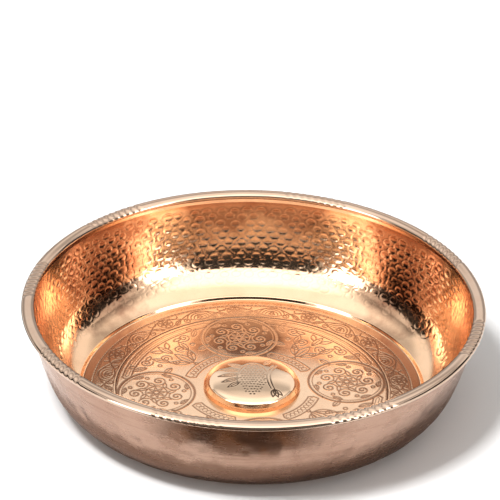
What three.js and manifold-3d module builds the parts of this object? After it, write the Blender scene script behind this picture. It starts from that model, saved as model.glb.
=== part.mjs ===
// Hammered copper hamam bowl: one raised sheet, its edge rolled outward over an
// oval stiffening wire, with a hollow centre boss soldered over a finger opening.
// Millimetres, +Z up, origin on the resting plane under the centre.
import * as THREE from 'three';
import { mergeVertices } from 'three/addons/utils/BufferGeometryUtils.js';
import Module from 'manifold-3d';

// Overall
const RIM_RADIUS = 100;
const SHEET = 1.0;
const CLEARANCE = 0.3;

// Foot and floor
const FOOT_RADIUS = 73.6;
const FOOT_CORNER = [[0.7, 0.06], [1.5, 0.65]]; // outward from the foot's radius, height
const FINGER_OPENING_RADIUS = 19.0;
const STEP = [[75.15, 1.35], [74.85, 0.75], [74.4, 0.3], [73.4, 0.08], [72.0, 0]]; // height over the floor
const BORDER_LINES = [69.7, 59.4];
const LINE_HALF_WIDTH = 0.4;
const LINE_DEPTH = 0.25;

// Outer face of the wall: cove, then the nearly straight flare
const COVE_START = [75.8, 1.75];
const COVE_START_ANGLE = 18;
const WALL_START = [89.3, 15.0];
const WALL_START_ANGLE = 69;
const WALL_TOP = [96.2, 40.6];
const WALL_TOP_ANGLE = 82;

// Rolled rim bead and the wire inside it
const BEAD_HALF_WIDTH = 2.85;
const BEAD_HALF_HEIGHT = 1.9;
const BEAD_CENTRE = [RIM_RADIUS - BEAD_HALF_WIDTH, 43.6];
const BEAD_SHEET = 0.8;
const BEAD_START_ANGLE = 215;
const BEAD_END_ANGLE = -75;
const WIRE_JOINT_GAP = 0.6;

// Centre boss: a low button with a gently domed cap, a rounded shoulder and steep sides
const BOSS_HEIGHT = 6.8;
const BOSS_CAP_RADIUS = 16.5;
const BOSS_CAP_DROP = 1.5;
const BOSS_CAP_POWER = 2.95;
const BOSS_CAP_EDGE_ANGLE = -15;
const BOSS_FACET_TOP = [20.05, 3.4];
const BOSS_FACET_ANGLE = -59;
const BOSS_SIDE_TOP = [20.95, 1.9];
const BOSS_RADIUS = 21.3;
const BOSS_SHEET = 1.0;
const SOLDER_WIDTH = 0.9;
const SOLDER_HEIGHT = 0.8;

// Segments round the axis
const BOWL_SEGMENTS = 72;
const BOSS_SEGMENTS = 48;

const radians = THREE.MathUtils.degToRad;

// Cubic curve that leaves `from` and reaches `to` at the given angles from horizontal.
function coveCurve(from, fromAngle, fromReach, to, toAngle, toReach) {
  const start = new THREE.Vector2(...from);
  const end = new THREE.Vector2(...to);
  const leave = new THREE.Vector2(Math.cos(radians(fromAngle)), Math.sin(radians(fromAngle)));
  const arrive = new THREE.Vector2(Math.cos(radians(toAngle)), Math.sin(radians(toAngle)));
  return new THREE.CubicBezierCurve(
    start,
    start.clone().addScaledVector(leave, fromReach),
    end.clone().addScaledVector(arrive, -toReach),
    end,
  );
}

// Points along a curve, moved to its left by `offset`.
function offsetPoints(curve, steps, offset) {
  const points = [];
  for (let i = 0; i <= steps; i += 1) {
    const tangent = curve.getTangent(i / steps);
    const left = new THREE.Vector2(-tangent.y, tangent.x);
    points.push(curve.getPoint(i / steps).addScaledVector(left, offset));
  }
  return points;
}

// Points on the bead's oval between two angles, `inset` inside its outer face.
function beadPoints(fromAngle, toAngle, inset, steps) {
  const points = [];
  for (let i = 0; i <= steps; i += 1) {
    const angle = radians(fromAngle + (toAngle - fromAngle) * i / steps);
    const r = BEAD_CENTRE[0] + (BEAD_HALF_WIDTH - inset) * Math.cos(angle);
    const z = BEAD_CENTRE[1] + (BEAD_HALF_HEIGHT - inset) * Math.sin(angle);
    points.push(new THREE.Vector2(r, z));
  }
  return points;
}

// Solid of revolution about +Z from a profile of (radius, height) points.
function revolve(profile, segments) {
  const geometry = new THREE.LatheGeometry(profile, segments);
  geometry.rotateX(Math.PI / 2);
  geometry.deleteAttribute('normal');
  geometry.deleteAttribute('uv');
  return mergeVertices(geometry, 1e-4);
}

function named(name, geometry, color, roughness) {
  geometry.computeVertexNormals();
  const material = new THREE.MeshStandardMaterial({ color, roughness, metalness: 1 });
  const mesh = new THREE.Mesh(geometry, material);
  mesh.name = name;
  return mesh;
}

// Bowl shell
function bowlShell() {
  const cove = coveCurve(COVE_START, COVE_START_ANGLE, 6, WALL_START, WALL_START_ANGLE, 7);
  const wall = coveCurve(WALL_START, WALL_START_ANGLE, 8.5, WALL_TOP, WALL_TOP_ANGLE, 8.5);
  const profile = [
    new THREE.Vector2(FINGER_OPENING_RADIUS, 0),
    new THREE.Vector2(FOOT_RADIUS, 0),
    ...FOOT_CORNER.map(([outward, height]) => new THREE.Vector2(FOOT_RADIUS + outward, height)),
    ...offsetPoints(cove, 8, 0),
    ...offsetPoints(wall, 6, 0).slice(1),
    ...beadPoints(BEAD_START_ANGLE, BEAD_END_ANGLE, BEAD_SHEET, 10),
    ...beadPoints(BEAD_END_ANGLE, BEAD_START_ANGLE, 0, 12),
    ...offsetPoints(wall, 6, SHEET).reverse().slice(0, -1),
    ...offsetPoints(cove, 8, SHEET).reverse(),
    ...STEP.map(([radius, height]) => new THREE.Vector2(radius, SHEET + height)),
  ];
  for (const radius of BORDER_LINES) {
    profile.push(new THREE.Vector2(radius + LINE_HALF_WIDTH, SHEET));
    profile.push(new THREE.Vector2(radius, SHEET - LINE_DEPTH));
    profile.push(new THREE.Vector2(radius - LINE_HALF_WIDTH, SHEET));
  }
  profile.push(new THREE.Vector2(FINGER_OPENING_RADIUS, SHEET));
  profile.push(profile[0].clone());
  return revolve(profile, BOWL_SEGMENTS);
}

// Boss: its outer face from the axis out to the foot, heights above the floor's top
function bossOutline() {
  const cap = [0, 0.3, 0.55, 0.75, 0.9].map((share) => new THREE.Vector2(
    BOSS_CAP_RADIUS * share,
    BOSS_HEIGHT - BOSS_CAP_DROP * share ** BOSS_CAP_POWER,
  ));
  const edge = [BOSS_CAP_RADIUS, BOSS_HEIGHT - BOSS_CAP_DROP];
  const shoulder = coveCurve(edge, BOSS_CAP_EDGE_ANGLE, 1.9, BOSS_FACET_TOP, BOSS_FACET_ANGLE, 0.9);
  return [
    ...cap,
    ...offsetPoints(shoulder, 5, 0),
    new THREE.Vector2(...BOSS_SIDE_TOP),
    new THREE.Vector2(BOSS_RADIUS, CLEARANCE),
  ];
}

// The same outline, moved inward by the sheet's thickness.
function bossLining(outline) {
  return outline.map((point, i) => {
    const before = outline[Math.max(i - 1, 0)];
    const after = outline[Math.min(i + 1, outline.length - 1)];
    const along = after.clone().sub(before).normalize();
    const inward = new THREE.Vector2(along.y, -along.x);
    const lining = point.clone().addScaledVector(inward, BOSS_SHEET);
    if (i === 0) lining.x = 0;
    if (i === outline.length - 1) lining.y = CLEARANCE;
    return lining;
  });
}

function centreBoss() {
  const outline = bossOutline();
  const profile = [...bossLining(outline), ...outline.reverse()];
  for (const point of profile) point.y += SHEET;
  return revolve(profile, BOSS_SEGMENTS);
}

function bossSolder() {
  const foot = SHEET + CLEARANCE;
  const outer = BOSS_RADIUS - BOSS_SHEET - 0.4;
  const profile = [
    new THREE.Vector2(outer - SOLDER_WIDTH, foot),
    new THREE.Vector2(outer, foot),
    new THREE.Vector2(outer - 0.55, foot + SOLDER_HEIGHT),
    new THREE.Vector2(outer - SOLDER_WIDTH, foot),
  ];
  return revolve(profile, BOSS_SEGMENTS);
}

// Wire: an oval ring cut where its two ends meet.
const wasm = await Module();
wasm.setup();

function toManifold(geometry) {
  const mesh = new wasm.Mesh({
    numProp: 3,
    vertProperties: new Float32Array(geometry.attributes.position.array),
    triVerts: new Uint32Array(geometry.index.array),
  });
  return new wasm.Manifold(mesh);
}

function fromManifold(solid) {
  const mesh = solid.getMesh();
  const geometry = new THREE.BufferGeometry();
  geometry.setAttribute('position', new THREE.BufferAttribute(mesh.vertProperties, 3));
  geometry.setIndex(new THREE.BufferAttribute(mesh.triVerts, 1));
  return geometry;
}

function rimWire() {
  const profile = beadPoints(0, 360, BEAD_SHEET + CLEARANCE, 10);
  profile[profile.length - 1].copy(profile[0]);
  const ring = toManifold(revolve(profile, BOWL_SEGMENTS));
  const box = new THREE.BoxGeometry(WIRE_JOINT_GAP, 12, 12);
  box.translate(0, BEAD_CENTRE[0], BEAD_CENTRE[1]);
  box.deleteAttribute('normal');
  box.deleteAttribute('uv');
  const slot = toManifold(mergeVertices(box));
  return fromManifold(ring.subtract(slot));
}

const group = new THREE.Group();
group.name = 'hammered_copper_bowl';
group.add(named('bowl_shell', bowlShell(), 0xd29a78, 0.3));
group.add(named('rim_wire', rimWire(), 0x9a9a98, 0.45));
group.add(named('centre_boss', centreBoss(), 0xe0ab88, 0.14));
group.add(named('boss_solder', bossSolder(), 0xb9b8b4, 0.4));

export default group;
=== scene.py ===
# Hammered copper hamam bowl: hammered wall, fluted rim, engraved floor and a polished centre boss.
# Shapes are worked out in millimetres in the CAD frame and stored in metres.
import cmath
import math
import random

import bmesh
import bpy
import numpy as np
from mathutils import Matrix, Vector
from mathutils.kdtree import KDTree


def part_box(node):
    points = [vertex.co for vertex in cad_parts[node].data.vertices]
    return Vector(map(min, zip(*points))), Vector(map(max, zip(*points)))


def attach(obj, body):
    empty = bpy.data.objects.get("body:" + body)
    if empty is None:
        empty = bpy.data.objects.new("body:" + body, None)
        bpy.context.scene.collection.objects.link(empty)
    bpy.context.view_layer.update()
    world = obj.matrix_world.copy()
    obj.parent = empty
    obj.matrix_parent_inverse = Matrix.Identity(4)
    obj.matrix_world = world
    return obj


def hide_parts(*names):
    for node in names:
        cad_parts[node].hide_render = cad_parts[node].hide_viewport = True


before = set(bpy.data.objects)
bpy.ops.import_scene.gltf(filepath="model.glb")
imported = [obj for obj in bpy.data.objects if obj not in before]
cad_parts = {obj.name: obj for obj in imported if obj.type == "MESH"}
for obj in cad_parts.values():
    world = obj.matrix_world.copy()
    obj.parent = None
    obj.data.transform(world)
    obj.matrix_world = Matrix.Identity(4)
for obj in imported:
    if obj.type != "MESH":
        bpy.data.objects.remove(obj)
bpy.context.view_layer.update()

MM = 0.001
TAU = 2 * math.pi
MERGE_DISTANCE = 1e-6  # in metres

# Driving sizes in mm. The rim's and the boss's come from the CAD frame, less a little, because
# the finer rounds here would stand out past the CAD's flat facets.
RIM_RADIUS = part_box("bowl_shell")[1].x / MM - 0.04
RIM_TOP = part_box("bowl_shell")[1].z / MM - 0.01
BOSS_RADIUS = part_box("centre_boss")[1].x / MM - 0.02
BOSS_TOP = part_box("centre_boss")[1].z / MM - 0.01
SHEET = 1.0
CLEARANCE = 0.02  # between the boss's foot and the floor
FINGER_OPENING_RADIUS = 19.0
FLOOR_EDGE_RADIUS = 70.6
FOOT_RADIUS = 73.6
FOOT = [(0, 0), (0.7, 0.06), (1.5, 0.65)]  # outward from the foot's radius, height
# Radius and height over the floor along the step: a gentle rise, then a straight steep face
STEP = [
    (FLOOR_EDGE_RADIUS, 0), (73.2, 0.02), (74.25, 0.12), (74.55, 0.33),
    (74.68, 0.58), (75.18, 1.52), (75.42, 1.68),
]

# Each curve's end is (radius, height), then the slope in degrees and the reach of its handle
COVE_START = ((75.8, 1.75), 18, 6)
COVE_END = ((89.3, 15.0), 69, 7)
WALL_START = (*COVE_END[:2], 8.5)
WALL_END = ((96.2, 40.6), 82, 8.5)

BOSS_CAP_RADIUS = 16.5
BOSS_CAP_DROP = 1.5
BOSS_CAP_POWER = 2.5
BOSS_CAP_STEPS = 75
BOSS_SHOULDER_STEPS = 20
BOSS_SHOULDER_START = (-13, 1.3)  # at the cap's edge, slope and reach
BOSS_SHOULDER_END = ((20.05, BOSS_TOP - 3.4), -59, 1.35)
BOSS_SIDE = [
    (20.2, BOSS_TOP - 3.65), (20.8, BOSS_TOP - 4.65), (20.95, BOSS_TOP - 4.9),
    (21.02, BOSS_TOP - 5.3), (BOSS_RADIUS, SHEET + CLEARANCE),
]

BEAD_HALF_WIDTH = 2.85
BEAD_HALF_HEIGHT = 1.9
BEAD_SHEET = 0.8
BEAD_CENTRE = (RIM_RADIUS - BEAD_HALF_WIDTH, RIM_TOP - BEAD_HALF_HEIGHT)
BEAD_START_ANGLE = 215
BEAD_END_ANGLE = -75
BEAD_LINING_STEPS = 26
BEAD_FACE_STEPS = 36

# Points round the axis, and distances between rows of points in mm
RING_SEGMENTS = 1440
FIELD_SEGMENTS = 1080
CENTRE_SEGMENTS = 720
BOSS_SEGMENTS = 480
CURVE_STEPS = 60
WALL_OUTSIDE_STEPS = 40
STEP_BAND_STEPS = 16  # of the cove's steps, those that belong to the ring with the step
COVE_ROW = 0.42
WALL_ROW = 0.53
OUTSIDE_ROW = 1.8
UNDERSIDE_ROW = 4.0
BORDER_ROW = 0.25
FIELD_ROW = 0.34
CENTRE_ROW = 0.28
LINING_ROW = 1.2

# Hammering inside the wall
MARKS_PER_ROW = 92
MARK_ROW_PITCH = 3.0
MARK_HALF_WIDTH = 2.3
MARK_HALF_HEIGHT = 1.55
MARK_DEPTH = 0.06
MARK_REACH = 1.3  # how far a mark's lip goes, as a share of its half size
MARK_LIP = 0.045
LIP_WIDTH = 0.15
MARK_SIZES = (0.82, 1.12)
MARK_STRENGTHS = (0.6, 1.3)
MARK_TILT = 0.3
MARK_STRAY_ROUND = 0.15  # in pitches
MARK_STRAY_UP = 0.45  # in mm
# Share of the full depth in each row, from the lowest up
ROW_DEPTHS = (0.3, 0.65, 0.75, 0.7, 0.55, 0.4, 0.4, 0.6, 0.8, 0.85, 0.8, 0.5)
SCATTERED_ROWS = 3  # lowest rows, where some of the marks are barely struck
BARELY_STRUCK = 0.2
FIRST_MARK_ARC = 8.0  # along the inner face from the cove's start to the lowest row

# Planishing facets outside: count, depth, (least, most) half width in mm and half height in rows
FACETS = ((360, 0.16, (3, 6), (1.5, 3)), (900, 0.04, (1.5, 3), (0.9, 1.8)))
FACET_RADIUS = 93

# Flute groups on the rim: azimuth of each group's middle, in degrees from +X
FLUTE_GROUPS = (30, 74, 132, 172, 215, 254, 297, 344)
FLUTES_PER_GROUP = 9
FLUTE_PITCH_DEG = 1.95
FLUTE_DEPTH = 0.2
FLUTE_SLANT = 0.012  # degrees round the rim for each degree across the bead
FLUTE_PIVOT = 85  # place across the bead, in degrees on its oval, where the slant is nothing
FLUTE_MIDDLE = 75  # place across the bead where a flute is deepest
FLUTE_END = 121  # degrees from there where it runs out
FLUTE_FADE = 55  # degrees over which it fades to that end
FLUTE_WEAR = 0.35

# Floor ornament
BORDER_OUTER_LINE = 69.7
BORDER_INNER_LINE = 59.4
BORDER_MIDDLE = 64.6
BORDER_HAIR_LINES = (68.9, 60.7)
BORDER_UNITS = 24
BORDER_WAVE = 3.5
DASH_PITCH = 1.9
MEDALLION_CENTRE = 42.0
MEDALLION_RADIUS = 16.8
FRAME_HAIR_RADIUS = 15.2
FIRST_MEDALLION_DEG = 98.5
PANEL_CENTRE = 42.5
CARTOUCHES = ((53.6, 57.4, 30.5), (25.6, 30.2, 21.0))  # inner and outer radius, half span in degrees
CARTOUCHE_HAIR_LINES = (54.8, 56.2, 29.0)
STRIP_RADIUS = 27.9
STRIP_PITCH_DEG = 2.3
FLOOR_SPLIT_RADIUS = 31.5

# Grooves: half width and depth in mm
LINE_CUT = (0.62, 0.14)
HAIR_CUT = (0.26, 0.04)
DASH_CUT = (0.5, 0.13)
BORDER_CUT = (0.42, 0.11)
FRAME_CUT = (0.72, 0.14)
FRAME_HAIR_CUT = (0.3, 0.05)
MOTIF_CUT = (0.4, 0.1)
CARTOUCHE_CUT = (0.42, 0.08)
CARTOUCHE_HAIR_CUT = (0.24, 0.03)
STRIP_CUT = (0.26, 0.045)
BOSS_DOT_CUT = (0.56, 0.06)
BOSS_LEAF_CUT = (0.42, 0.08)
BOSS_STEM_CUT = (0.44, 0.09)
STROKE_SPACING = 0.14

# The burr beside a groove: its place and width in half widths, its height as a share of the depth
BURR_PLACE = 1.35
BURR_WIDTH = 0.3
BURR_HEIGHT = 0.14

chance = random.Random(7)


# ---------------------------------------------------------------- profiles

def cubic(start, end, steps, offset=0.0):
    """Points of a cubic curve, moved to its left by offset. An end is (point, slope in degrees, reach)."""
    (p0, leave_deg, leave_reach), (p3, arrive_deg, arrive_reach) = start, end
    p0, p3 = np.array(p0), np.array(p3)
    leave = np.array([math.cos(math.radians(leave_deg)), math.sin(math.radians(leave_deg))])
    arrive = np.array([math.cos(math.radians(arrive_deg)), math.sin(math.radians(arrive_deg))])
    p1, p2 = p0 + leave * leave_reach, p3 - arrive * arrive_reach
    t = np.linspace(0, 1, steps + 1)[:, None]
    points = (1 - t) ** 3 * p0 + 3 * (1 - t) ** 2 * t * p1 + 3 * (1 - t) * t**2 * p2 + t**3 * p3
    tangent = (1 - t) ** 2 * (p1 - p0) + 2 * (1 - t) * t * (p2 - p1) + t**2 * (p3 - p2)
    tangent /= np.linalg.norm(tangent, axis=1, keepdims=True)
    return points + offset * np.stack([-tangent[:, 1], tangent[:, 0]], 1)


def cove(steps, offset=0.0):
    return cubic(COVE_START, COVE_END, steps, offset)


def wall(steps, offset=0.0):
    return cubic(WALL_START, WALL_END, steps, offset)


def bead(from_deg, to_deg, inset, steps):
    """Points on the bead's oval between two angles, inset inside its outer face."""
    angle = np.radians(np.linspace(from_deg, to_deg, steps + 1))
    return np.stack([
        BEAD_CENTRE[0] + (BEAD_HALF_WIDTH - inset) * np.cos(angle),
        BEAD_CENTRE[1] + (BEAD_HALF_HEIGHT - inset) * np.sin(angle),
    ], 1)


def resample(points, spacing):
    """The same path with evenly spaced points, both ends kept."""
    points = np.asarray(points, float)
    arc = np.r_[0, np.cumsum(np.linalg.norm(np.diff(points, axis=0), axis=1))]
    count = max(2, int(math.ceil(arc[-1] / spacing)) + 1)
    at = np.linspace(0, arc[-1], count)
    return np.stack([np.interp(at, arc, points[:, k]) for k in (0, 1)], 1)


def rounded(points, rounds=2):
    """Chaikin corner cutting, ends kept."""
    points = np.asarray(points, float)
    for _ in range(rounds):
        cut = np.empty((2 * len(points) - 2, 2))
        cut[0::2] = 0.75 * points[:-1] + 0.25 * points[1:]
        cut[1::2] = 0.25 * points[:-1] + 0.75 * points[1:]
        points = np.vstack([points[:1], cut, points[-1:]])
    return points


# ---------------------------------------------------------------- meshes

def add_object(name, data):
    made = bpy.data.objects.new(name, data)
    bpy.context.scene.collection.objects.link(made)
    return made


def with_plain_rows(count, values):
    """The values with that many rows of zeros before them."""
    return np.vstack([np.zeros((count, values.shape[1])), values])


def lathe(name, loop, lift, wear, crease_rows, face_slots=None):
    """Closed ring turned round +Z from an anticlockwise loop of (radius, height) points. lift and wear
    have a row for each: lift raises it along the outward normal, in mm, and wear becomes an attribute."""
    rows, segments = lift.shape
    on_axis = loop[0, 0] == 0
    along = np.roll(loop, -1, 0) - np.roll(loop, 1, 0)
    if on_axis:
        along[0], along[-1] = (1, 0), (-1, 0)
    along /= np.linalg.norm(along, axis=1, keepdims=True)
    normal = np.stack([along[:, 1], -along[:, 0]], 1)
    theta = np.arange(segments) * TAU / segments
    radius = loop[:, :1] + normal[:, :1] * lift
    height = loop[:, 1:] + normal[:, 1:] * lift
    points = np.stack([radius * np.cos(theta), radius * np.sin(theta), height], 2).reshape(-1, 3) * MM

    i, j = np.meshgrid(np.arange(rows - on_axis), np.arange(segments), indexing="ij")
    next_i, next_j = (i + 1) % rows, (j + 1) % segments
    corners = [(i, j), (i, next_j), (next_i, next_j), (next_i, j)]
    faces = np.stack([a * segments + b for a, b in corners], 2).reshape(-1, 4)
    mesh = bpy.data.meshes.new(name)
    mesh.vertices.add(len(points))
    mesh.vertices.foreach_set("co", points.astype(np.float32).ravel())
    mesh.loops.add(faces.size)
    mesh.loops.foreach_set("vertex_index", faces.astype(np.int32).ravel())
    mesh.polygons.add(len(faces))
    mesh.polygons.foreach_set("loop_start", (np.arange(len(faces)) * 4).astype(np.int32))
    mesh.update(calc_edges=True)
    mesh.polygons.foreach_set("use_smooth", np.ones(len(faces), bool))
    if face_slots is not None:
        mesh.polygons.foreach_set("material_index", np.repeat(face_slots, segments).astype(np.int32))
    ends = np.empty(len(mesh.edges) * 2, np.int32)
    mesh.edges.foreach_get("vertices", ends)
    row = ends.reshape(-1, 2) // segments
    sharp = (row[:, 0] == row[:, 1]) & np.isin(row[:, 0], crease_rows)
    mesh.attributes.new("sharp_edge", "BOOLEAN", "EDGE").data.foreach_set("value", sharp)
    mesh.attributes.new("wear", "FLOAT", "POINT").data.foreach_set("value", wear.astype(np.float32).ravel())
    if on_axis:
        close_poles(mesh)
    mesh.validate()
    return add_object(name, mesh)


def close_poles(mesh):
    """Merges each ring of vertices that lies on the axis into one."""
    shape = bmesh.new()
    shape.from_mesh(mesh)
    on_axis = [v for v in shape.verts if math.hypot(v.co.x, v.co.y) < MERGE_DISTANCE]
    bmesh.ops.remove_doubles(shape, verts=on_axis, dist=MERGE_DISTANCE)
    shape.to_mesh(mesh)
    shape.free()


def tree_of(points):
    tree = KDTree(len(points))
    for k, point in enumerate(points):
        tree.insert(point, k)
    tree.balance()
    return tree


# ---------------------------------------------------------------- hammering

def hammered(face):
    """(depth in mm, wear) of the hammer marks at each point of the inner face, from the cove's start up.
    Each mark is a round dent inside a raised lip."""
    segments = RING_SEGMENTS
    arc = np.r_[0, np.cumsum(np.linalg.norm(np.diff(face, axis=0), axis=1))]
    depth, lips, wear = np.zeros((3, len(face), segments))
    for row, row_depth in enumerate(ROW_DEPTHS):
        for k in range(MARKS_PER_ROW):
            stray = chance.uniform(-MARK_STRAY_ROUND, MARK_STRAY_ROUND)
            azimuth = (k + 0.5 * (row % 2) + stray) * TAU / MARKS_PER_ROW
            stray = chance.uniform(-MARK_STRAY_UP, MARK_STRAY_UP)
            at = FIRST_MARK_ARC + row * MARK_ROW_PITCH + stray
            size = chance.uniform(*MARK_SIZES)
            full = MARK_DEPTH * row_depth * chance.uniform(*MARK_STRENGTHS)
            tilt, lean = chance.uniform(-MARK_TILT, MARK_TILT), chance.uniform(-MARK_TILT, MARK_TILT)
            if row < SCATTERED_ROWS and chance.random() < 0.6 - 0.2 * row:
                full *= BARELY_STRUCK
            rows = np.flatnonzero(np.abs(arc - at) < MARK_REACH * MARK_HALF_HEIGHT * size)
            radius = np.interp(at, arc, face[:, 0])
            reach = int(MARK_REACH * MARK_HALF_WIDTH * size / radius / TAU * segments) + 1
            middle = int(round(azimuth / TAU * segments))
            columns = np.arange(middle - reach, middle + reach + 1)
            x = (columns * TAU / segments - azimuth) * radius / (MARK_HALF_WIDTH * size)
            y = (arc[rows] - at) / (MARK_HALF_HEIGHT * size)
            x, y = np.meshgrid(x, y)
            q = x * x + y * y
            dent = np.where(q < 1, (1 - q) * (1 + tilt * x + lean * y), 0)
            place = np.ix_(rows, columns % segments)
            depth[place] = np.maximum(depth[place], full * dent)
            lip = np.exp(-(((np.sqrt(q) - 1) / LIP_WIDTH) ** 2))
            lips[place] = np.maximum(lips[place], lip * MARK_LIP * min(1, 2.5 * full / MARK_DEPTH))
            edge = np.clip(1 - np.abs(q - 0.85) / 0.35, 0, 1)
            wear[place] = np.maximum(wear[place], edge * row_depth)
    return depth - lips, wear


# ---------------------------------------------------------------- ornament strokes
# A stroke is an array of complex numbers, x + iy in mm, in a motif's own plane.

def line(*points):
    return np.array(points, complex)


def towards(direction_deg):
    """One mm in that direction."""
    return cmath.exp(1j * math.radians(direction_deg))


def arc_stroke(centre, radius, from_deg=0.0, to_deg=360.0):
    angle = np.radians(np.linspace(from_deg, to_deg, max(8, int(abs(to_deg - from_deg) / 6))))
    return centre + radius * np.exp(1j * angle)


def spiral(centre, outer, inner, from_deg, turns):
    """A scroll that tightens from its outer to its inner radius."""
    t = np.linspace(0, 1, 60)
    angle = np.radians(from_deg) + t * turns * TAU
    return centre + (outer + (inner - outer) * t**0.8) * np.exp(1j * angle)


def leaf(root, direction_deg, length, width, vein=True):
    """Two bowed sides that meet in a point, with a vein up to two thirds."""
    t = np.linspace(0, 1, 24)
    bow = width / 2 * np.sin(np.pi * t**0.85)
    turn = towards(direction_deg)
    strokes = [root + turn * (t * length + 1j * side * bow) for side in (-1, 1)]
    if vein:
        strokes.append(root + turn * (t[:17] * length))
    return strokes


def rosette(centre, radius, petals, start_deg=0.0):
    """Petals round a small circle."""
    heart = radius * 0.28
    strokes = [arc_stroke(centre, heart)]
    for k in range(petals):
        facing = start_deg + k * 360 / petals
        root = centre + heart * towards(facing)
        strokes += leaf(root, facing, radius - heart, radius * 2.1 / petals, vein=False)
    return strokes


def mirrored(strokes):
    """The strokes and their mirror images across the real axis."""
    return strokes + [stroke.conjugate() for stroke in strokes]


def bent(strokes, radius, azimuth_deg):
    """Strokes of a strip (real part round the bowl, imaginary part outward) laid round the axis."""
    turned = []
    for stroke in strokes:
        dense = filled_in(stroke, 0.5)
        angle = math.radians(azimuth_deg) - dense.real / radius
        turned.append((radius + dense.imag) * np.exp(1j * angle))
    return turned


def placed(strokes, azimuth_deg, radius):
    """A motif drawn with its real axis pointing outward, moved to that place on the floor."""
    return [towards(azimuth_deg) * (radius + stroke) for stroke in strokes]


def filled_in(stroke, spacing):
    """The stroke with points about spacing apart."""
    steps = np.abs(np.diff(stroke))
    arc = np.r_[0, np.cumsum(steps)]
    at = np.linspace(0, arc[-1], max(2, int(arc[-1] / spacing) + 1))
    return np.interp(at, arc, stroke.real) + 1j * np.interp(at, arc, stroke.imag)


class Engraving:
    """Grooves cut along strokes, in classes that share a half width and a depth."""

    def __init__(self):
        self.cuts = {}

    def cut(self, strokes, groove):
        points = self.cuts.setdefault(groove, [])
        for stroke in strokes:
            points.append(filled_in(stroke, STROKE_SPACING))

    def depth(self, radii, segments):
        """(depth in mm, wear) of the grooves on a polar grid, with a slight burr thrown up beside them."""
        theta = np.arange(segments) * TAU / segments
        grid = (radii[:, None] * np.exp(1j * theta)).ravel()
        total, wear = np.zeros(len(grid)), np.zeros(len(grid))
        for (half_width, full), groups in self.cuts.items():
            points = np.concatenate(groups)
            keep = (abs(points) > min(radii) - 2) & (abs(points) < max(radii) + 2)
            points = points[keep]
            if not len(points):
                continue
            tree = tree_of([(p.real, p.imag, 0) for p in points])
            gap = np.array([tree.find((g.real, g.imag, 0))[2] for g in grid])
            q = gap / half_width
            groove = np.where(q < 1, 1 - q * q, 0)
            burr = np.where(q >= 1, np.exp(-(((q - BURR_PLACE) / BURR_WIDTH) ** 2)), 0) * BURR_HEIGHT
            total = np.where(full * groove > total, full * groove, total)
            total = np.where((total <= 0) & (burr > 0.01), -full * burr, total)
            wear = np.maximum(wear, np.minimum(1, 1.25 * groove))
        return total.reshape(-1, segments), wear.reshape(-1, segments)


# ---------------------------------------------------------------- floor ornament

def border_unit_shell():
    """Nested shells opening inward over a seed, with curling side leaves."""
    strokes = [arc_stroke(-2.2j, radius, 8, 172) for radius in (1.5, 3.0, 4.5, 6.0)]
    strokes += leaf(-2.6j, 90, 3.4, 1.7, vein=False)
    for side in (-1, 1):
        strokes.append(spiral(side * 6.6 - 2.4j, 2.0, 0.5, 90, -side * 1.3))
    return strokes


def border_unit_flower():
    """A round flower between two bowed stems."""
    strokes = rosette(0.6j, 2.9, 7, 90)
    strokes.append(arc_stroke(0.6j, 3.4))
    for side in (-1, 1):
        stem = leaf(3.6 - 3.4j, 40, 5.2, 2.0)
        strokes += [side * stroke.real + 1j * stroke.imag for stroke in stem]
        strokes.append(arc_stroke(side * 5.6 + 3.4j, 1.9, 180, 360))
    return strokes


def border_vine():
    """A waving stem that runs over and under the motifs, and its mirror image."""
    angle = np.linspace(0, TAU, 1440)
    wave = BORDER_WAVE * np.sin(angle * BORDER_UNITS / 2)
    return [(BORDER_MIDDLE + side * wave) * np.exp(1j * angle) for side in (-1, 1)]


def border_engraving():
    cuts = Engraving()
    for k in range(BORDER_UNITS):
        azimuth = (k + 0.5) * 360 / BORDER_UNITS
        unit = border_unit_shell() if k % 2 else border_unit_flower()
        cuts.cut(bent(unit, BORDER_MIDDLE, azimuth), BORDER_CUT)
    cuts.cut(border_vine(), BORDER_CUT)
    cuts.cut([arc_stroke(0, BORDER_INNER_LINE)], LINE_CUT)
    cuts.cut([arc_stroke(0, radius) for radius in BORDER_HAIR_LINES], HAIR_CUT)
    dashes = int(TAU * BORDER_OUTER_LINE / DASH_PITCH)
    for k in range(dashes):
        cuts.cut(bent([line(-0.5, 0.5)], BORDER_OUTER_LINE, k * 360 / dashes), DASH_CUT)
    return cuts


def medallion():
    """What fills a medallion's round frame: a flower in a wheel of scrolls."""
    scrolls = 7
    strokes = rosette(0, 4.0, 8)
    strokes.append(arc_stroke(0, 4.7))
    for k in range(scrolls):
        facing = k * 360 / scrolls
        middle = 9.3 * towards(facing)
        strokes.append(spiral(middle, 3.6, 0.5, facing + 150, 1.75))
        strokes.append(spiral(middle, 2.5, 0.4, facing + 330, 1.1))
        strokes += leaf(13.9 * towards(facing + 30), facing + 118, 4.6, 1.8)
        strokes.append(arc_stroke(12.2 * towards(facing + 25.7), 0.8))
        strokes += leaf(5.0 * towards(facing + 12), facing + 55, 4.4, 1.6, vein=False)
    return strokes


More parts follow.
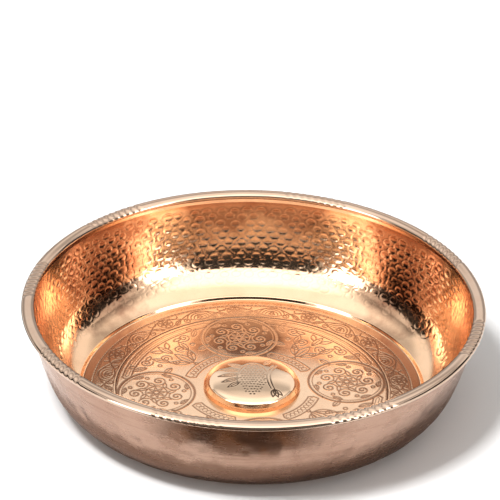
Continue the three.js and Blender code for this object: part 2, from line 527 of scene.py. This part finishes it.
def panel():
    """Leaves and scrolls that fill the space between two medallions, its real axis pointing outward."""
    half = leaf(-9.5 + 1.2j, 38, 9.5, 3.4)
    half += leaf(-2.0 + 6.6j, 20, 8.2, 3.0)
    half += leaf(-5.6 + 9.8j, 95, 6.0, 2.4)
    half.append(spiral(1.4 + 5.2j, 3.0, 0.5, 200, 1.6))
    half.append(spiral(6.0 + 13.4j, 3.2, 0.5, 240, -1.6))
    half += leaf(3.2 + 16.6j, 62, 7.0, 2.4)
    half.append(spiral(-4.4 + 4.4j, 1.9, 0.4, 20, 1.3))
    half.append(arc_stroke(8.4 + 20.4j, 1.1))
    half.append(arc_stroke(-0.4 + 11.6j, 0.9))
    half += leaf(5.6 + 1.6j, 42, 5.6, 2.2, vein=False)
    half += leaf(7.6 + 8.2j, 100, 4.6, 1.9, vein=False)
    whole = mirrored(half)
    whole += leaf(-10.5, 0, 11.0, 4.0)
    whole += leaf(1.6, 0, 8.6, 3.0)
    whole.append(arc_stroke(-11.8, 0.8))
    return whole


def cartouche(inner, outer, half_deg, azimuth_deg):
    """Two concentric arcs joined by bowed ends."""
    ends = []
    for side in (-1, 1):
        end = towards(side * half_deg)
        tip = (inner + outer) / 2 * towards(side * (half_deg + 1.6))
        ends.append(line(inner * end, tip, outer * end))
    arcs = [arc_stroke(0, radius, -half_deg, half_deg) for radius in (inner, outer)]
    return [stroke * towards(azimuth_deg) for stroke in arcs + ends]


def field_engraving():
    cuts = Engraving()
    for k in range(4):
        azimuth = FIRST_MEDALLION_DEG + 90 * k
        between = azimuth + 45
        cuts.cut(placed([arc_stroke(0, MEDALLION_RADIUS)], azimuth, MEDALLION_CENTRE), FRAME_CUT)
        cuts.cut(placed([arc_stroke(0, FRAME_HAIR_RADIUS)], azimuth, MEDALLION_CENTRE), FRAME_HAIR_CUT)
        cuts.cut(placed(medallion(), azimuth, MEDALLION_CENTRE), MOTIF_CUT)
        cuts.cut(placed(panel(), between, PANEL_CENTRE), MOTIF_CUT)
        for inner, outer, half_deg in CARTOUCHES:
            cuts.cut(cartouche(inner, outer, half_deg, between), CARTOUCHE_CUT)
        cuts.cut(cartouche(*CARTOUCHE_HAIR_LINES, between), CARTOUCHE_HAIR_CUT)
        for step in range(-8, 9):
            strip = line(-0.9 - 1.4j, 0.9 + 1.4j) if step % 2 else arc_stroke(0, 1.1, 200, 430)
            cuts.cut(bent([strip], STRIP_RADIUS, between + step * STRIP_PITCH_DEG), STRIP_CUT)
    cuts.cut([arc_stroke(0, BORDER_INNER_LINE)], LINE_CUT)
    return cuts


def boss_engraving():
    """A long stippled flower head with leaves on one side and a stem that ends in a bud on the other."""
    cuts = Engraving()
    middle, half_wide, half_long = 0.3 - 3.2j, 5.9, 11.6
    dots = []
    for row in range(-7, 8):
        for column in range(-5, 6):
            x, y = (column + 0.5 * (row % 2)) * 1.35, row * 1.6
            x, y = x + chance.uniform(-0.2, 0.2), y + chance.uniform(-0.25, 0.25)
            if (x / half_wide) ** 2 + (y / half_long) ** 2 < 1:
                dot = middle + complex(x, y)
                dots.append(line(dot, dot + 0.1))
    cuts.cut(dots, BOSS_DOT_CUT)
    angle = np.radians(np.linspace(20, 200, 40))
    outline = middle + (half_wide + 0.9) * np.cos(angle) + 1j * (half_long + 0.9) * np.sin(angle)
    leaves = [outline] + leaf(5.2 + 8.6j, 62, 5.5, 2.0)
    for root, facing, length in ((-4.5 + 5.5j, 150, 7.0), (-5.6 + 2.6j, 168, 8.6), (-6.0 - 0.4j, 184, 8.8),
                                 (-5.9 - 3.4j, 198, 7.6), (-5.3 - 6.4j, 212, 6.2)):
        leaves += leaf(root, facing, length, 2.3)
    for facing in (-95, -65, -35):
        leaves += leaf(9.6 - 10.6j, facing, 4.6, 1.9, vein=False)
    cuts.cut(leaves, BOSS_LEAF_CUT)
    cuts.cut([arc_stroke(26 + shift - 1.5j, 19.6, 150, 206) for shift in (0, 1.5)], BOSS_STEM_CUT)
    return cuts


# ---------------------------------------------------------------- materials

# Noise scales, per metre
PATCH_SCALE = 26
STREAK_SCALE = 260
CLOUD_SCALE = 90
POLISH_SCALE = 900
PIT_SCALE = 1400
POLISH_STRETCH = 0.006  # metres of noise for each radian round the axis
BUMP_HEIGHT = 0.00004

COPPER_LIGHT = (0.95, 0.67, 0.46, 1)
COPPER_MID = (0.93, 0.61, 0.40, 1)
COPPER_DARK = (0.62, 0.34, 0.21, 1)
PATINA = (0.2, 0.07, 0.03, 1)
# Painted shade: a dark tone on the floor round the top medallion, standing in for a dark reflection there
FLOOR_PAINTED_SHADE = (0.20, 0.12, 0.08, 1)
# Painted reflection: a dull grey-brown tone on the back of the boss's cap, standing in for the backdrop
# mirrored there
BOSS_PAINTED_REFLECTION = (0.5, 0.35, 0.25, 1)
# Painted shade: dark brown on the inner wall's upper part, at the back and to its left and right
WALL_PAINTED_SHADE = (0.26, 0.10, 0.055, 1)

# Painted patches of shade and reflection: centre in metres, reach in metres, share, colour
# Painted shade on the floor round the top medallion
FLOOR_SHADE_PATCHES = [((-0.004, 0.042, 0.001), 0.023, 0.95, FLOOR_PAINTED_SHADE)]
# Painted reflection on the back of the boss's cap
BOSS_REFLECTION_PATCHES = [((0, 0.009, 0.008), 0.015, 0.8, BOSS_PAINTED_REFLECTION)]
# Painted shade on the inner wall's upper part
WALL_SHADE_PATCHES = [
    ((side * x, y, z), reach, share, WALL_PAINTED_SHADE)
    for x, y, z, reach, share in ((0.071, 0.060, 0.031, 0.031, 0.92), (0.017, 0.094, 0.044, 0.021, 0.8))
    for side in (-1, 1)
]


def node(tree, kind, **settings):
    made = tree.nodes.new(kind)
    for key, value in settings.items():
        setattr(made, key, value)
    return made


def feed(tree, socket, value):
    """Links another node's output to a socket, or sets a plain value on it."""
    if isinstance(value, bpy.types.NodeSocket):
        tree.links.new(value, socket)
    else:
        socket.default_value = value


def noise(tree, vector, scale, detail, roughness, distortion=0.0):
    made = node(tree, "ShaderNodeTexNoise")
    keys = ("Scale", "Detail", "Roughness", "Distortion")
    for key, number in zip(keys, (scale, detail, roughness, distortion)):
        made.inputs[key].default_value = number
    tree.links.new(vector, made.inputs["Vector"])
    return made.outputs["Fac"]


def math_node(tree, operation, *values):
    made = node(tree, "ShaderNodeMath", operation=operation)
    for socket, value in zip(made.inputs, values):
        feed(tree, socket, value)
    return made.outputs[0]


def add(tree, a, b):
    return math_node(tree, "ADD", a, b)


def times(tree, a, b):
    return math_node(tree, "MULTIPLY", a, b)


def xyz_of(tree, vector):
    """The vector's three parts."""
    apart = node(tree, "ShaderNodeSeparateXYZ")
    tree.links.new(vector, apart.inputs[0])
    return apart.outputs


def object_place(tree):
    return node(tree, "ShaderNodeTexCoord").outputs["Object"]


def fit(tree, value, from_low, from_high, to_low, to_high):
    """Maps one range to another, held at its ends."""
    made = node(tree, "ShaderNodeMapRange")
    tree.links.new(value, made.inputs["Value"])
    keys = ("From Min", "From Max", "To Min", "To Max")
    for key, number in zip(keys, (from_low, from_high, to_low, to_high)):
        made.inputs[key].default_value = number
    return made.outputs["Result"]


def blend_colour(tree, share, a, b):
    """Colour a where share is 0, colour b where it is 1."""
    made = node(tree, "ShaderNodeMix", data_type="RGBA")
    feed(tree, made.inputs[0], share)
    feed(tree, made.inputs[6], a)
    feed(tree, made.inputs[7], b)
    return made.outputs[2]


def painted_patch_share(tree, place, clouds, centre, reach, share):
    """Share of a painted patch: full near a centre in metres, ragged and gone at about reach from it."""
    apart = node(tree, "ShaderNodeVectorMath", operation="DISTANCE")
    tree.links.new(place, apart.inputs[0])
    apart.inputs[1].default_value = centre
    ragged = math_node(tree, "MULTIPLY_ADD", clouds, reach * 0.9, apart.outputs["Value"])
    return fit(tree, ragged, reach * 1.1, reach * 1.6, share, 0)


def metal(name, light, mid, dark, roughness, grain, patina=PATINA, patina_share=0.6, streaks=0.0,
          blotches=0.15, painted_patches=()):
    """A worn metal: patches of tone, darker wear in grooves, polishing marks round the axis, fine pits, and
    any painted patches of shade and reflection.
    """
    material = bpy.data.materials.new(name)
    material.use_nodes = True
    tree = material.node_tree
    shader = tree.nodes["Principled BSDF"]
    shader.inputs["Metallic"].default_value = 1.0
    place = object_place(tree)
    x, y, z = xyz_of(tree, place)
    azimuth = math_node(tree, "ARCTAN2", y, x)
    radius = math_node(tree, "SQRT", add(tree, times(tree, x, x), times(tree, y, y)))
    around = node(tree, "ShaderNodeCombineXYZ")
    for socket, value in zip(around.inputs, (times(tree, azimuth, POLISH_STRETCH), radius, z)):
        tree.links.new(value, socket)
    wear = node(tree, "ShaderNodeAttribute", attribute_name="wear").outputs["Fac"]

    patches = noise(tree, place, PATCH_SCALE, 4, 0.6, 0.4)
    clouds = noise(tree, place, CLOUD_SCALE, 3, 0.6)
    lines = noise(tree, around.outputs[0], POLISH_SCALE, 3, 0.7)
    tone = blend_colour(tree, fit(tree, patches, 0.35, 0.68, 0, 1), light, mid)
    tone = blend_colour(tree, fit(tree, clouds, 0.5, 0.75, 0, blotches), tone, dark)
    if streaks:
        bands = noise(tree, around.outputs[0], STREAK_SCALE, 4, 0.65, 0.8)
        tone = blend_colour(tree, fit(tree, bands, 0.52, 0.72, 0, streaks), tone, dark)
    worn = times(tree, wear, patina_share)
    # Painted patches: painted shade on the floor and inner wall, painted reflection on the boss, half as
    # strong in grooves
    for centre, reach, share, colour in painted_patches:
        painted_share = painted_patch_share(tree, place, clouds, centre, reach, share)
        worn = times(tree, worn, math_node(tree, "SUBTRACT", 1.0, painted_share))
        left = times(tree, painted_share, math_node(tree, "MULTIPLY_ADD", wear, -0.5, 1.0))
        tone = blend_colour(tree, left, tone, colour)
    tone = blend_colour(tree, worn, tone, patina)
    tree.links.new(tone, shader.inputs["Base Color"])

    uneven = add(tree, times(tree, clouds, 0.6), times(tree, lines, 0.4))
    rough = add(tree, fit(tree, uneven, 0.35, 0.65, *roughness), times(tree, wear, 0.15))
    tree.links.new(rough, shader.inputs["Roughness"])

    pits = noise(tree, place, PIT_SCALE, 2, 0.6)
    relief = add(tree, times(tree, lines, 0.6), times(tree, pits, 0.4))
    bump = node(tree, "ShaderNodeBump")
    bump.inputs["Strength"].default_value = grain
    bump.inputs["Distance"].default_value = BUMP_HEIGHT
    tree.links.new(relief, bump.inputs["Height"])
    tree.links.new(bump.outputs[0], shader.inputs["Normal"])
    return material


def make_materials():
    return {
        "inside": metal(
            "copper_hammered_inside", (0.95, 0.65, 0.43, 1), (0.91, 0.58, 0.36, 1), COPPER_DARK,
            roughness=(0.07, 0.14), grain=0.25, patina_share=0.3, painted_patches=WALL_SHADE_PATCHES),
        # Darker outer copper, darkened further as painted shade standing in for the shaded floor that the
        # outer wall mirrors
        "outside": metal(
            "copper_planished_outside",
            (0.47, 0.305, 0.225, 1), (0.41, 0.25, 0.18, 1), (0.22, 0.11, 0.07, 1),
            roughness=(0.20, 0.32), grain=0.7, streaks=0.5, blotches=0.35),
        "rim": metal(
            "copper_rim", (0.68, 0.50, 0.38, 1), (0.61, 0.44, 0.33, 1), COPPER_DARK,
            roughness=(0.07, 0.13), grain=0.5, patina_share=0.35),
        "floor": metal(
            "copper_engraved_floor", COPPER_LIGHT, COPPER_MID, COPPER_DARK,
            roughness=(0.13, 0.22), grain=0.3, patina_share=0.75, blotches=0.1, painted_patches=FLOOR_SHADE_PATCHES),
        "boss": metal(
            "copper_polished_boss", (0.95, 0.70, 0.50, 1), (0.93, 0.65, 0.44, 1), COPPER_DARK,
            roughness=(0.05, 0.1), grain=0.12, patina=(0.05, 0.025, 0.015, 1), patina_share=0.95,
            blotches=0.08, painted_patches=BOSS_REFLECTION_PATCHES),
        "wire": metal(
            "steel_drawn_wire", (0.60, 0.60, 0.59, 1), (0.52, 0.52, 0.51, 1), (0.30, 0.25, 0.21, 1),
            roughness=(0.30, 0.45), grain=0.6, blotches=0.35),
        "solder": metal(
            "tin_solder_fillet", (0.72, 0.72, 0.70, 1), (0.62, 0.62, 0.60, 1), (0.36, 0.33, 0.30, 1),
            roughness=(0.35, 0.5), grain=0.8, blotches=0.3),
    }


# ---------------------------------------------------------------- pieces

def finished(piece, materials, slot, *nodes):
    for material in materials:
        piece.data.materials.append(material)
    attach(piece, "root")
    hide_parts(*nodes)


def planished(rows):
    """Lift in mm of shallow facets over an outside face of that many rows, none at its edges."""
    field = np.zeros((rows, RING_SEGMENTS))
    for count, facet_depth, widths, heights in FACETS:
        for _ in range(count):
            around, up = chance.random() * RING_SEGMENTS, chance.random() * rows
            half_wide = chance.uniform(*widths) / FACET_RADIUS / TAU * RING_SEGMENTS
            half_tall = chance.uniform(*heights)
            i = np.arange(max(0, int(up - half_tall)), min(rows, int(up + half_tall) + 2))
            j = np.arange(int(around - half_wide), int(around + half_wide) + 2)
            x, y = np.meshgrid((j - around) / half_wide, (i - up) / half_tall)
            hollow = np.clip(1 - x * x - y * y, 0, 1) * facet_depth * chance.uniform(0.3, 1)
            field[np.ix_(i, j % RING_SEGMENTS)] -= hollow
    return field * np.sin(np.linspace(0, np.pi, rows))[:, None]


def wall_band(name, outer, inner, depth, wear, looks):
    """A closed ring of the wall between an outer and an inner path, both from the bottom up.
    depth dents the inner face, and the outer one is planished."""
    loop = np.vstack([outer, inner[::-1]])
    lift = np.vstack([planished(len(outer)), -depth[::-1]])
    worn = with_plain_rows(len(outer), wear[::-1])
    slots = np.where(np.arange(len(loop)) < len(outer) - 1, 0, 1)
    corners = (0, len(outer) - 1, len(outer), len(loop) - 1)
    piece = lathe(name, loop, lift, worn, corners, slots)
    finished(piece, (looks["outside"], looks["inside"]), "hammered_copper", "bowl_shell")


def bowl_wall(looks):
    """Foot and step, cove, and flared wall as three rings. One run of hammering covers the last two."""
    start = STEP_BAND_STEPS
    foot = [(FLOOR_EDGE_RADIUS, 0)] + [(FOOT_RADIUS + outward, height) for outward, height in FOOT]
    outer, inner = cove(CURVE_STEPS), cove(CURVE_STEPS, SHEET)
    step = rounded([*[(radius, SHEET + height) for radius, height in STEP], inner[0]])[:-1]
    step = np.vstack([step, inner[:start + 1:2]])
    bottom = np.vstack([rounded([*foot, outer[0]])[:-1], outer[:start + 1:4]])
    smooth = np.zeros((len(step), RING_SEGMENTS))
    wall_band("bowl_step", bottom, step, smooth, smooth, looks)

    cove_outer = resample(outer[start:], OUTSIDE_ROW)
    cove_inner = resample(inner[start:], COVE_ROW)
    wall_outer = resample(wall(WALL_OUTSIDE_STEPS), OUTSIDE_ROW)
    wall_inner = resample(wall(CURVE_STEPS, SHEET), WALL_ROW)
    depth, wear = hammered(np.vstack([inner[:start], cove_inner, wall_inner[1:]]))
    join = start + len(cove_inner)
    wall_band("bowl_cove", cove_outer, cove_inner, depth[start:join], wear[start:join], looks)
    wall_band("bowl_wall", wall_outer, wall_inner, depth[join - 1:], wear[join - 1:], looks)


def flutes(face):
    """How far each point of the bead's outer face is inside a flute, from 0 to 1."""
    theta = np.degrees(np.arange(RING_SEGMENTS) * TAU / RING_SEGMENTS)
    across = (face - BEAD_CENTRE) / (BEAD_HALF_WIDTH, BEAD_HALF_HEIGHT)
    angle = np.degrees(np.arctan2(across[:, 1], across[:, 0]))[:, None]
    share = np.zeros((len(face), RING_SEGMENTS))
    half_span = FLUTES_PER_GROUP * FLUTE_PITCH_DEG / 2
    for middle in FLUTE_GROUPS:
        offset = (theta + FLUTE_SLANT * (angle - FLUTE_PIVOT) - middle + 180) % 360 - 180
        wave = 0.5 - 0.5 * np.cos(TAU * (offset + half_span) / FLUTE_PITCH_DEG)
        share = np.maximum(share, np.where(np.abs(offset) < half_span, wave, 0))
    return share * np.clip((FLUTE_END - np.abs(angle - FLUTE_MIDDLE)) / FLUTE_FADE, 0, 1)


def rim_bead(looks):
    """The sheet's edge rolled over the wire: a plain lining and a fluted face."""
    lining = bead(BEAD_START_ANGLE, BEAD_END_ANGLE, BEAD_SHEET, BEAD_LINING_STEPS)
    face = bead(BEAD_END_ANGLE, BEAD_START_ANGLE, 0, BEAD_FACE_STEPS)
    wall_top, wall_top_inner = wall(1)[-1:], wall(1, SHEET)[-1:]
    loop = np.vstack([wall_top, lining, face, wall_top_inner])
    hollow = np.vstack([with_plain_rows(1 + len(lining), flutes(face)), np.zeros((1, RING_SEGMENTS))])
    corners = (0, 1, len(lining), len(lining) + 1, len(loop) - 2, len(loop) - 1)
    piece = lathe("rim_bead", loop, -FLUTE_DEPTH * hollow, FLUTE_WEAR * hollow, corners)
    finished(piece, (looks["rim"],), "hammered_copper", "bowl_shell")


def floor_ring(name, inner, outer, segments, spacing, engraving, looks):
    """A flat ring of the floor: plain underside, engraved top."""
    top = resample([(outer, SHEET), (inner, SHEET)], spacing)
    bottom = resample([(inner, 0), (outer, 0)], UNDERSIDE_ROW)
    loop = np.vstack([bottom, top])
    depth, wear = engraving.depth(top[:, 0], segments)
    lift, worn = with_plain_rows(len(bottom), -depth), with_plain_rows(len(bottom), wear)
    slots = np.where(np.arange(len(loop)) < len(bottom), 0, 1)
    corners = (0, len(bottom) - 1, len(bottom), len(loop) - 1)
    piece = lathe(name, loop, lift, worn, corners, slots)
    finished(piece, (looks["outside"], looks["floor"]), "hammered_copper", "bowl_shell")


def boss_outline():
    """The boss's outer face from the axis to the foot: domed cap, round shoulder, steep facet and side."""
    share = np.linspace(0, 1, BOSS_CAP_STEPS + 1)[:, None]
    cap = np.hstack([BOSS_CAP_RADIUS * share, BOSS_TOP - BOSS_CAP_DROP * share**BOSS_CAP_POWER])
    shoulder = cubic((cap[-1], *BOSS_SHOULDER_START), BOSS_SHOULDER_END, BOSS_SHOULDER_STEPS)
    return np.vstack([cap, shoulder[1:-1], rounded([shoulder[-1], *BOSS_SIDE])])


def centre_boss(looks):
    outline = boss_outline()
    inside = resample(outline * (1 - SHEET / BOSS_RADIUS, 1) - (0, SHEET), LINING_ROW)
    inside[-1, 1] = SHEET + CLEARANCE
    outside = outline[::-1]
    depth, wear = boss_engraving().depth(outside[:, 0], BOSS_SEGMENTS)
    depth[-1] = depth[-2].mean()  # one height where the rows meet on the axis
    lift, worn = with_plain_rows(len(inside), -depth), with_plain_rows(len(inside), wear)
    corners = (len(inside) - 1, len(inside))
    piece = lathe("centre_boss_cap", np.vstack([inside, outside]), lift, worn, corners)
    finished(piece, (looks["boss"],), "polished_copper", "centre_boss")


def add_pieces(looks):
    bowl_wall(looks)
    rim_bead(looks)
    border, field = border_engraving(), field_engraving()
    for name, inner, outer, segments, spacing, engraving in (
        ("floor_border", BORDER_INNER_LINE, FLOOR_EDGE_RADIUS, RING_SEGMENTS, BORDER_ROW, border),
        ("floor_field", FLOOR_SPLIT_RADIUS, BORDER_INNER_LINE, FIELD_SEGMENTS, FIELD_ROW, field),
        ("floor_centre", FINGER_OPENING_RADIUS, FLOOR_SPLIT_RADIUS, CENTRE_SEGMENTS, CENTRE_ROW, field),
    ):
        floor_ring(name, inner, outer, segments, spacing, engraving, looks)
    centre_boss(looks)
    for name, look, slot in (("rim_wire", "wire", "steel_wire"), ("boss_solder", "solder", "tin_solder")):
        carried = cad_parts[name]
        carried.data.materials.clear()
        carried.data.materials.append(looks[look])


# ---------------------------------------------------------------- studio

# Angles are in degrees and distances in metres here; azimuths go round from +X.
CAMERA_DISTANCE = 1400  # in mm
CAMERA_ELEVATION = 32.25
AIM_UP = 2.45
AIM_LEFT = 0.09
ROLL = 1.32
LENS = 230.4
SENSOR = 36

FLOOR_RADIUS = 8
FLOOR_SIDES = 64
FLOOR_DROP = 0.00015  # keeps the floor clear of the underside
FLOOR_WHITE = (0.8, 0.8, 0.8, 1)
WORLD_COLOUR = (1, 0.99, 0.97, 1)
WORLD_STOPS = ((20, 0.5), (26, 1.08), (35, 1.08), (41, 0.6), (90, 0.6))  # elevation, radiance

KEY = {"azimuth": 228, "elevation": 64, "distance": 1.6, "width": 0.35, "height": 0.35, "watts": 31}
SOFTBOX = {"elevation": 20, "distance": 1.8, "width": 0.7, "height": 1.0, "watts": 9}
SOFTBOX_AZIMUTHS = {"left": 214, "right": 326}

ARCH_HALF_WIDTH = 2.6
ARCH_DISTANCE = 2.4
ARCH_ELEVATIONS = (39, 130)
ARCH_RADIANCE = 2.4
ARCH_COLOUR = (1, 0.985, 0.96, 1)
ARCH_FADES = ((72, 86, 0.6), (112, 130, 0.5))  # elevations where a fade starts and ends, share left

MATT = 0.9
DARKEST = (0, 0, 0, 1)
BLACK = (0.02, 0.018, 0.016, 1)
GREY = (0.26, 0.22, 0.2, 1)
BROWN = (0.02, 0.01, 0.006, 1)
AMBER = (0.2, 0.1, 0.035, 1)
FLAG_DISTANCE = 2.6
# From and to azimuths, then low and high elevations
FLAGS = {"front": (234, 306, 9, 35), "right": (346, 392, 8, 30), "left": (148, 194, 8, 30)}
SOFT_END = 16  # how far along its ends a card fades
CARD_SCALE = 75  # of the noise on the brown cards, per metre
CARD_STEPS = 16
CARD_HEIGHT = 0.001
NEAR_CARD = [(-0.040, -0.105), (0.016, -0.105), (0.020, -0.112), (-0.044, -0.112)]
NEAR_CARD_HEIGHT = 0.002


def add_camera():
    """A camera at the photograph's angle, aimed a little above the floor's middle and turned slightly."""
    elevation = math.radians(CAMERA_ELEVATION)
    back = Vector((0, -math.cos(elevation), math.sin(elevation)))
    place = Vector((0, 0, SHEET * MM)) + back * CAMERA_DISTANCE * MM
    forward, right = -back, Vector((1, 0, 0))
    up = right.cross(forward)
    forward = forward * math.cos(math.radians(AIM_UP)) + up * math.sin(math.radians(AIM_UP))
    up = right.cross(forward)
    forward = forward * math.cos(math.radians(AIM_LEFT)) - right * math.sin(math.radians(AIM_LEFT))
    right = forward.cross(up)
    right = right * math.cos(math.radians(ROLL)) + up * math.sin(math.radians(ROLL))
    up = right.cross(forward)
    data = bpy.data.cameras.new("camera")
    data.lens = LENS
    data.sensor_width = SENSOR
    data.clip_start, data.clip_end = 0.05, 50
    camera = add_object("camera", data)
    camera.matrix_world = Matrix.Translation(place) @ Matrix((right, up, -forward)).transposed().to_4x4()
    bpy.context.scene.camera = camera


def sky_point(azimuth_deg, elevation_deg, distance):
    """A point on a sphere round the bowl."""
    azimuth, elevation = math.radians(azimuth_deg), math.radians(elevation_deg)
    flat = math.cos(elevation)
    return Vector((math.cos(azimuth) * flat, math.sin(azimuth) * flat, math.sin(elevation))) * distance


def area_light(name, azimuth, elevation, distance, width, height, watts):
    """A softbox that faces the bowl."""
    data = bpy.data.lights.new(name, "AREA")
    data.shape = "RECTANGLE"
    data.size, data.size_y = width, height
    data.energy = watts
    light = add_object(name, data)
    light.location = sky_point(azimuth, elevation, distance)
    light.rotation_mode = "QUATERNION"
    light.rotation_quaternion = (-light.location).to_track_quat("-Z", "Y")
    return light


def flat_material(name, colour):
    material = bpy.data.materials.new(name)
    material.use_nodes = True
    shader = material.node_tree.nodes["Principled BSDF"]
    shader.inputs["Base Color"].default_value = colour
    shader.inputs["Roughness"].default_value = MATT
    return material


def mottled_material(name):
    """A card in patches of amber and near black."""
    material = flat_material(name, BROWN)
    tree = material.node_tree
    patches = fit(tree, noise(tree, object_place(tree), CARD_SCALE, 2, 0.5), 0.48, 0.62, 0, 1)
    tone = blend_colour(tree, patches, BROWN, AMBER)
    tree.links.new(tone, tree.nodes["Principled BSDF"].inputs["Base Color"])
    return material


def unseen(name, points, faces, material):
    """A card for reflections only: the camera, shadows and diffuse light pass through it."""
    mesh = bpy.data.meshes.new(name)
    mesh.from_pydata(points, [], faces)
    mesh.materials.append(material)
    card = add_object(name, mesh)
    card.visible_camera = False
    card.visible_shadow = False
    card.visible_diffuse = False


def unseen_strip(name, pairs, material):
    """An unseen card between two edges, from pairs of opposite points along them."""
    points = [point for pair in pairs for point in pair]
    faces = [(2 * k, 2 * k + 2, 2 * k + 3, 2 * k + 1) for k in range(len(pairs) - 1)]
    unseen(name, points, faces, material)


def flag(name, from_deg, to_deg, low_deg, high_deg, material):
    """A curved dark card that covers a band of directions."""
    pairs = []
    for azimuth in np.linspace(from_deg, to_deg, CARD_STEPS + 1):
        pairs.append([sky_point(azimuth, elevation, FLAG_DISTANCE) for elevation in (low_deg, high_deg)])
    unseen_strip(name, pairs, material)


def glow_material(name):
    """Light that fades towards the arch's sides, past the top and at its far end."""
    material = flat_material(name, DARKEST)
    tree = material.node_tree
    shader = tree.nodes["Principled BSDF"]
    shader.inputs["Emission Color"].default_value = ARCH_COLOUR
    x, y, z = xyz_of(tree, object_place(tree))
    glow = fit(tree, math_node(tree, "ABSOLUTE", x), ARCH_HALF_WIDTH * 0.55, ARCH_HALF_WIDTH,
               ARCH_RADIANCE, ARCH_RADIANCE * 0.25)
    elevation = math_node(tree, "ARCTAN2", z, times(tree, y, -1.0))
    for low, high, left in ARCH_FADES:
        glow = times(tree, glow, fit(tree, elevation, math.radians(low), math.radians(high), 1, left))
    tree.links.new(glow, shader.inputs["Emission Strength"])
    return material


def bright_arch(name):
    """A softbox bent over the bowl from low in front to past the top."""
    pairs = []
    for elevation in np.radians(np.linspace(*ARCH_ELEVATIONS, CARD_STEPS + 1)):
        y, z = -math.cos(elevation) * ARCH_DISTANCE, math.sin(elevation) * ARCH_DISTANCE
        pairs.append([(side * ARCH_HALF_WIDTH, y, z) for side in (-1, 1)])
    unseen_strip(name, pairs, glow_material(name))


def soften_ends(material, from_deg, to_deg):
    """Makes a card clear towards its two ends round the bowl."""
    tree = material.node_tree
    middle, half = math.radians((from_deg + to_deg) / 2), (to_deg - from_deg) / 2
    way = node(tree, "ShaderNodeVectorMath", operation="NORMALIZE")
    tree.links.new(object_place(tree), way.inputs[0])
    along = node(tree, "ShaderNodeVectorMath", operation="DOT_PRODUCT")
    tree.links.new(way.outputs[0], along.inputs[0])
    along.inputs[1].default_value = (math.cos(middle), math.sin(middle), 0)
    edge, full = math.cos(math.radians(half)), math.cos(math.radians(half - SOFT_END))
    opacity = fit(tree, along.outputs["Value"], edge, full, 0, 1)
    tree.links.new(opacity, tree.nodes["Principled BSDF"].inputs["Alpha"])


def dark_ring(name, from_deg, to_deg, inner, outer, material):
    """A dark sector just over the floor round the bowl, faded at its ends unless it is a whole ring."""
    pairs = []
    for azimuth in np.linspace(from_deg, to_deg, 3 * CARD_STEPS + 1):
        turn = towards(azimuth)
        pairs.append([(radius * turn.real, radius * turn.imag, CARD_HEIGHT) for radius in (outer, inner)])
    if to_deg - from_deg < 360:
        soften_ends(material, from_deg, to_deg)
    unseen_strip(name, pairs, material)


def add_floor():
    angles = [k * TAU / FLOOR_SIDES for k in range(FLOOR_SIDES)]
    ring = [(FLOOR_RADIUS * math.cos(a), FLOOR_RADIUS * math.sin(a), -FLOOR_DROP) for a in angles]
    mesh = bpy.data.meshes.new("floor")
    mesh.from_pydata(ring, [], [tuple(range(FLOOR_SIDES))])
    mesh.materials.append(flat_material("floor_white", FLOOR_WHITE))
    add_object("floor", mesh)


def add_world():
    """An even sky with a brighter belt low down."""
    world = bpy.data.worlds.new("studio")
    world.use_nodes = True
    tree = world.node_tree
    background = tree.nodes["Background"]
    background.inputs["Color"].default_value = WORLD_COLOUR
    way = node(tree, "ShaderNodeTexCoord").outputs["Generated"]
    ramp = node(tree, "ShaderNodeValToRGB")
    tree.links.new(xyz_of(tree, way)[2], ramp.inputs["Fac"])
    stops = ramp.color_ramp.elements
    stops.remove(stops[1])
    for k, (elevation, radiance) in enumerate(WORLD_STOPS):
        height = math.sin(math.radians(elevation))
        stop = stops.new(height) if k else stops[0]
        stop.position = height
        stop.color = (radiance, radiance, radiance, 1)
    tree.links.new(ramp.outputs["Color"], background.inputs["Strength"])
    bpy.context.scene.world = world


def add_studio():
    """Floor, sky, key light, two softboxes, an arch of light, and dark cards that the copper mirrors."""
    add_floor()
    add_world()
    black = flat_material("flag_black", BLACK)
    for side, directions in FLAGS.items():
        flag(f"flag_{side}", *directions, black)
    bright_arch("softbox_arch")
    dark_ring("dark_ring_front", 220, 320, 0.150, 2.6, flat_material("card_black_front", BLACK))
    dark_ring("dark_ring_left", 124, 184, 0.118, 0.260, flat_material("card_black_left", BLACK))
    dark_ring("dark_ring_near", 234, 298, 0.109, 0.150, mottled_material("card_brown"))
    # Painted shadow: a grey ring at the foot, mirrored in the lower outer wall in place of the contact
    # shade there
    dark_ring("painted_shadow_ring_foot", 0, 360, 0.078, 0.098, flat_material("card_painted_shadow", GREY))
    corners = [(x, y, NEAR_CARD_HEIGHT) for x, y in NEAR_CARD]
    unseen("dark_card_front", corners, [(0, 1, 2, 3)], mottled_material("card_brown_near"))
    key = area_light("key_front_left", **KEY)
    key.visible_glossy = False
    for side, azimuth in SOFTBOX_AZIMUTHS.items():
        softbox = area_light(f"softbox_front_{side}", azimuth, **SOFTBOX)
        softbox.visible_diffuse = False


add_camera()
add_studio()
add_pieces(make_materials())
bpy.context.scene.view_settings.view_transform = "Standard"
